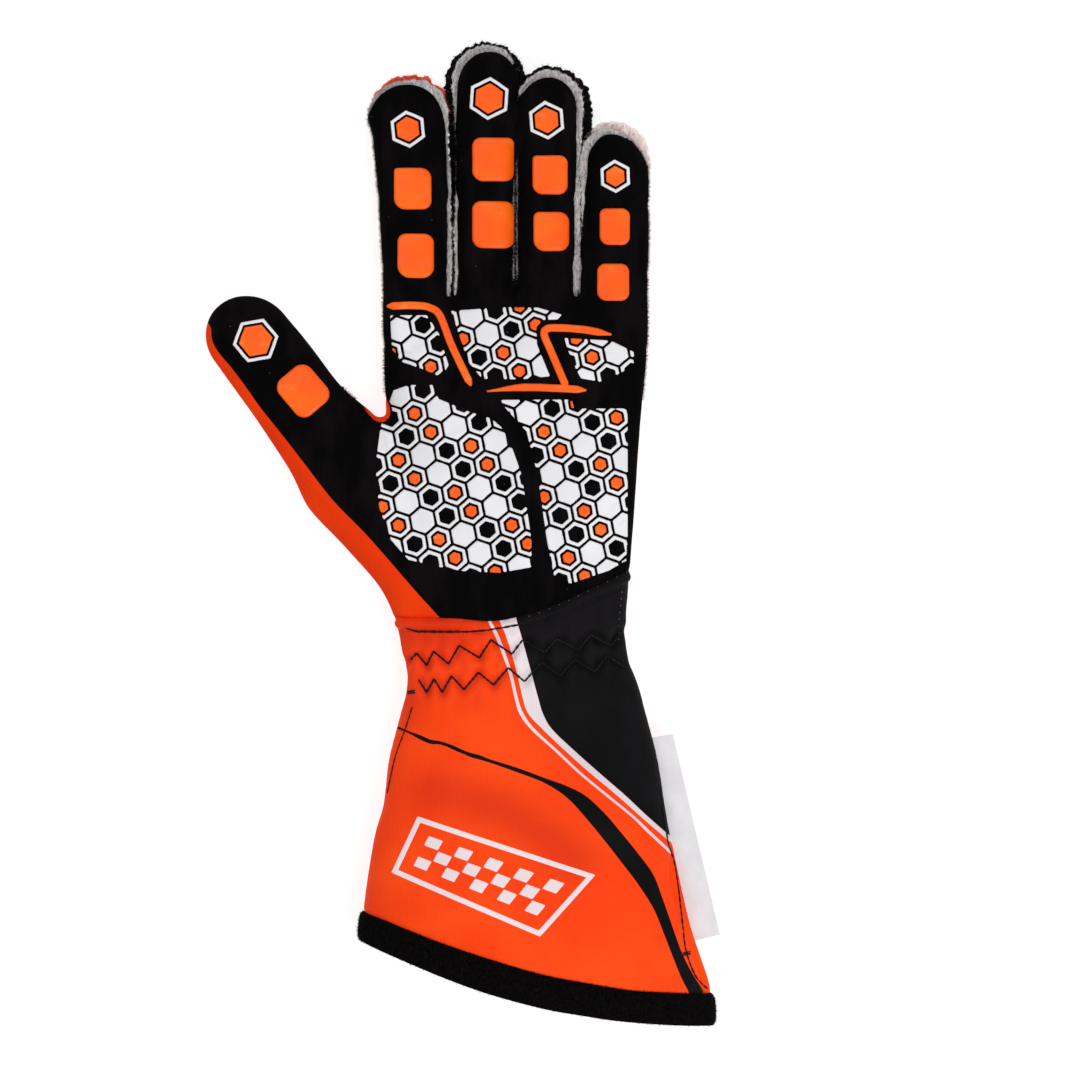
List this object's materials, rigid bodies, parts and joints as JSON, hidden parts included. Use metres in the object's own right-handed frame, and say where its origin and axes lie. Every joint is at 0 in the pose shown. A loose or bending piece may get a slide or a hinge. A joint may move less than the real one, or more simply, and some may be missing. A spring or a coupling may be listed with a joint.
{
  "type": "racing glove",
  "caption": "Left-hand gauntlet glove lying palm up, with suede palm, cloth back and cuff, raised grip pads and printed palm.",
  "frame": {"origin": "under the middle of the glove's outline, on the surface that the back of the hand lies on", "axes": "+X from the thumb side to the little-finger side, +Y from the cuff to the fingertips, +Z out of the palm"},
  "size_m": [0.1903, 0.364, 0.0339],
  "materials": {
    "suede": "brushed suede",
    "orange_cloth": "fine knit",
    "black_cloth": "fine knit",
    "grey_cloth": "raw brushed edge",
    "grip_orange": "satin silicone",
    "print_white": "satin silicone print",
    "label_white": "woven tape"
  },
  "bodies": {
    "root": {"palm_panel": "suede", "back_panel": "orange_cloth", "thumb_panel": "orange_cloth", "gauntlet_front": "orange_cloth", "gauntlet_back": "orange_cloth", "middle_back": "black_cloth", "ring_back": "black_cloth", "cuff_binding": "black_cloth", "fourchette_index_middle": "grey_cloth", "fourchette_middle_ring": "grey_cloth", "fourchette_ring_little": "grey_cloth", "grip_pad_index_tip": "grip_orange", "grip_pad_index_base": "grip_orange", "grip_pad_middle_tip": "grip_orange", "grip_pad_middle_base": "grip_orange", "grip_pad_ring_tip": "grip_orange", "grip_pad_ring_base": "grip_orange", "grip_pad_little_tip": "grip_orange", "grip_pad_little_base": "grip_orange", "grip_pad_thumb": "grip_orange", "flex_line_index": "grip_orange", "flex_line_little": "grip_orange", "flex_line_palm": "grip_orange", "tip_print_index": "print_white", "tip_print_middle": "print_white", "tip_print_ring": "print_white", "tip_print_little": "print_white", "tip_print_thumb": "print_white", "grip_print_index_base": "print_white", "grip_print_middle_base": "print_white", "grip_print_little_base": "print_white", "grip_print_palm_thumb_side": "print_white", "grip_print_palm_heel_side": "print_white", "side_label": "label_white"}
  },
  "joints": []
}
